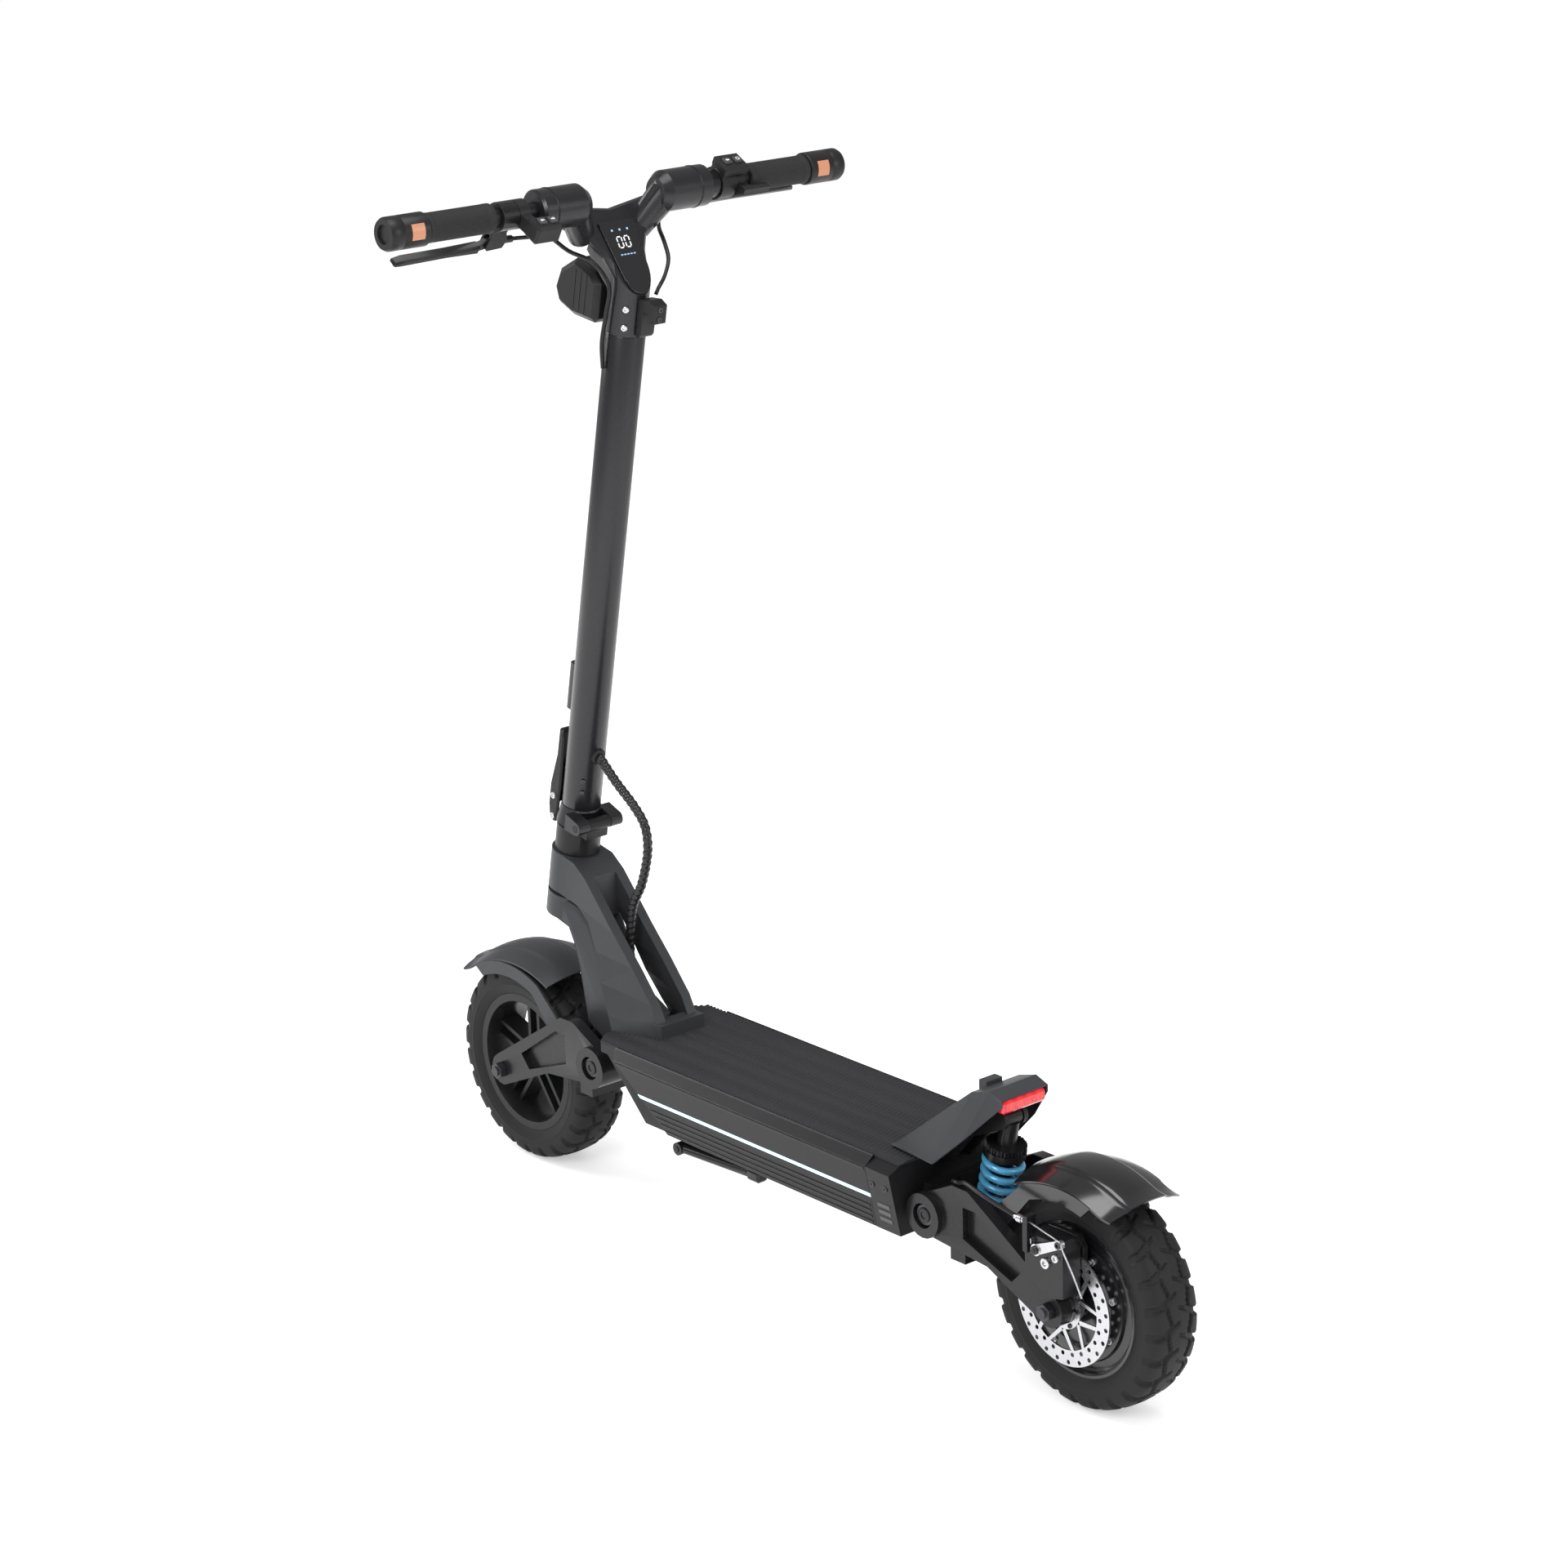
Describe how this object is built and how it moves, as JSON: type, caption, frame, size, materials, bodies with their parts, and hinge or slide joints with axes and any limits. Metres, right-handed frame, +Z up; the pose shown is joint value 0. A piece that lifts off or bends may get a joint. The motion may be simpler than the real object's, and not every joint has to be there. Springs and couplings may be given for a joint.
{
  "type": "electric kick scooter",
  "caption": "Folding electric kick scooter: long deck, splayed neck, tall stem with handlebar controls, swing-arm suspension at both wheels and a coil-over rear shock.",
  "frame": {"origin": "on the ground, midway between the two axles, in the scooter's middle plane", "axes": "+X forward, +Y to the rider's left, +Z up"},
  "size_m": [1.223, 0.6536, 1.2599],
  "materials": {
    "graphite_paint": "satin graphite",
    "stem_paint": "satin near-black",
    "black_metal": "satin black",
    "dark_steel": "dark plated",
    "bright_steel": "bright",
    "black_plastic": "fine grain",
    "cable_sheath": "smooth black",
    "gloss_panel": "gloss black",
    "grip_rubber": "matte",
    "harness_wrap": "spiral wrap, semi-gloss",
    "tyre_rubber": "matte",
    "spring_blue": "gloss blue",
    "light_strip": "diffusing, lit",
    "red_lens": "clear red",
    "battery_wrap": "shrink wrap"
  },
  "bodies": {
    "frame": {"deck_chassis": "black_metal", "deck_mat": "grip_rubber", "side_rail_left": "black_metal", "side_rail_right": "black_metal", "led_strip_left": "light_strip", "led_strip_right": "light_strip", "frame_neck": "graphite_paint", "rear_pivot_block": "black_metal", "kick_plate": "graphite_paint", "tail_light": "red_lens", "battery_pack": "battery_wrap", "rear_pivot_pin": "dark_steel", "wire_harness": "harness_wrap"},
    "steering": {"fork": "graphite_paint", "stem_base": "black_metal", "front_pivot_pin": "dark_steel"},
    "latch": {"fold_latch": "black_metal"},
    "stem": {"stem_foot": "stem_paint", "stem_tube": "stem_paint", "handlebar_head": "graphite_paint", "bar_tube_left": "black_metal", "bar_tube_right": "black_metal", "display_panel": "gloss_panel", "headlight_housing": "black_plastic", "stow_hook": "black_metal", "grip_left": "grip_rubber", "grip_right": "grip_rubber", "bar_end_left": "black_plastic", "bar_end_right": "black_plastic", "switch_box_left": "black_plastic", "switch_box_right": "black_plastic", "brake_perch_left": "black_metal", "brake_perch_right": "black_metal", "brake_cable_left": "cable_sheath", "brake_cable_right": "cable_sheath"},
    "brake_lever_left": {"brake_lever_left": "black_metal"},
    "brake_lever_right": {"brake_lever_right": "black_metal"},
    "throttle": {"throttle_lever": "black_plastic"},
    "turn_key_left": {"turn_key_left": "black_plastic"},
    "turn_key_right": {"turn_key_right": "black_plastic"},
    "mode_button": {"mode_button": "black_plastic"},
    "power_button": {"power_button": "black_plastic"},
    "front_arm": {"front_swing_arm": "black_metal", "front_axle": "dark_steel", "front_fender": "graphite_paint"},
    "front_wheel": {"front_tyre": "tyre_rubber", "front_rim": "black_metal"},
    "rear_arm": {"rear_swing_arm": "black_metal", "rear_axle": "dark_steel", "rear_fender": "black_plastic", "brake_caliper": "black_metal", "rear_brake_cable": "cable_sheath"},
    "caliper_arm": {"caliper_arm": "bright_steel"},
    "rear_wheel": {"rear_tyre": "tyre_rubber", "hub_motor": "black_metal", "brake_rotor": "bright_steel"},
    "shock": {"shock_body": "black_metal", "shock_spring": "spring_blue"},
    "shock_slide": {"shock_rod": "bright_steel"},
    "kickstand": {"kickstand_leg": "black_metal"}
  },
  "joints": [
    {"name": "steer", "type": "hinge", "parent": "frame", "child": "steering", "pos_m": [0.3964, 0, 0.4248], "axis": [-0.1987, 0, 0.9801], "range_deg": [-40, 40], "deforming": ["wire_harness"]},
    {"name": "stem_fold", "type": "hinge", "parent": "steering", "child": "stem", "pos_m": [0.35546, 0, 0.46415], "axis": [0, -1, 0], "range_deg": [0, 88], "deforming": ["wire_harness"]},
    {"name": "latch_flip", "type": "hinge", "parent": "steering", "child": "latch", "pos_m": [0.42737, 0, 0.46077], "axis": [0, 1, 0], "range_deg": [0, 100]},
    {"name": "brake_lever_left_pull", "type": "hinge", "parent": "stem", "child": "brake_lever_left", "pos_m": [0.29167, 0.165, 1.19817], "axis": [0.766, 0, 0.6428], "range_deg": [0, 9], "stiffness_Nm_per_rad": 3, "springref_deg": -6.88},
    {"name": "brake_lever_right_pull", "type": "hinge", "parent": "stem", "child": "brake_lever_right", "pos_m": [0.3006, -0.14, 1.20881], "axis": [-0.5, 0, -0.866], "range_deg": [0, 9], "stiffness_Nm_per_rad": 3, "springref_deg": -6.88},
    {"name": "throttle_press", "type": "hinge", "parent": "stem", "child": "throttle", "pos_m": [0.26595, -0.1665, 1.22881], "axis": [0, -1, 0], "range_deg": [0, 30], "stiffness_Nm_per_rad": 0.3, "springref_deg": -8.59},
    {"name": "turn_key_left_press", "type": "slide", "parent": "stem", "child": "turn_key_left", "axis": [0.5, 0, -0.866], "range_m": [0, 0.0015], "stiffness_N_per_m": 800, "springref_m": -0.0006},
    {"name": "turn_key_right_press", "type": "slide", "parent": "stem", "child": "turn_key_right", "axis": [0.5, 0, -0.866], "range_m": [0, 0.0015], "stiffness_N_per_m": 800, "springref_m": -0.0006},
    {"name": "mode_button_press", "type": "slide", "parent": "stem", "child": "mode_button", "axis": [0.5, 0, -0.866], "range_m": [0, 0.0015], "stiffness_N_per_m": 800, "springref_m": -0.0006},
    {"name": "power_button_press", "type": "slide", "parent": "stem", "child": "power_button", "axis": [0.5, 0, -0.866], "range_m": [0, 0.0015], "stiffness_N_per_m": 800, "springref_m": -0.0006},
    {"name": "front_arm_swing", "type": "hinge", "parent": "steering", "child": "front_arm", "pos_m": [0.296, 0, 0.184], "axis": [0, -1, 0], "range_deg": [0, 11], "stiffness_Nm_per_rad": 260, "springref_deg": -12.61},
    {"name": "front_wheel_spin", "type": "hinge", "parent": "front_arm", "child": "front_wheel", "pos_m": [0.484, 0, 0.1275], "axis": [0, 1, 0], "continuous": true},
    {"name": "rear_arm_swing", "type": "hinge", "parent": "frame", "child": "rear_arm", "pos_m": [-0.296, 0, 0.18], "axis": [0, 1, 0], "range_deg": [0, 12], "stiffness_Nm_per_rad": 260, "springref_deg": -12.61},
    {"name": "rear_wheel_spin", "type": "hinge", "parent": "rear_arm", "child": "rear_wheel", "pos_m": [-0.484, 0, 0.1275], "axis": [0, 1, 0], "continuous": true},
    {"name": "shock_tilt", "type": "hinge", "parent": "frame", "child": "shock", "pos_m": [-0.3558, 0, 0.2928], "axis": [0, 1, 0], "range_deg": [-0.1, 1.2]},
    {"name": "shock_stroke", "type": "slide", "parent": "shock", "child": "shock_slide", "axis": [0.188, 0, -0.9822], "range_m": [-0.0085, 0.0002], "deforming": ["shock_spring"]},
    {"name": "kickstand_flip", "type": "hinge", "parent": "frame", "child": "kickstand", "pos_m": [0.125, 0.072, 0.1325], "axis": [0, -1, 0], "range_deg": [0, 72]},
    {"name": "caliper_arm_pull", "type": "hinge", "parent": "rear_arm", "child": "caliper_arm", "pos_m": [-0.476, 0.079, 0.199], "axis": [0, 1, 0], "range_deg": [0, 25]}
  ],
  "couplings": [
    {"joint": "shock_tilt", "follows": "rear_arm_swing", "ratio": 0.0871},
    {"joint": "shock_stroke", "follows": "rear_arm_swing", "m_per_rad": -0.0387},
    {"joint": "caliper_arm_pull", "follows": "brake_lever_left_pull", "ratio": 2.7}
  ]
}
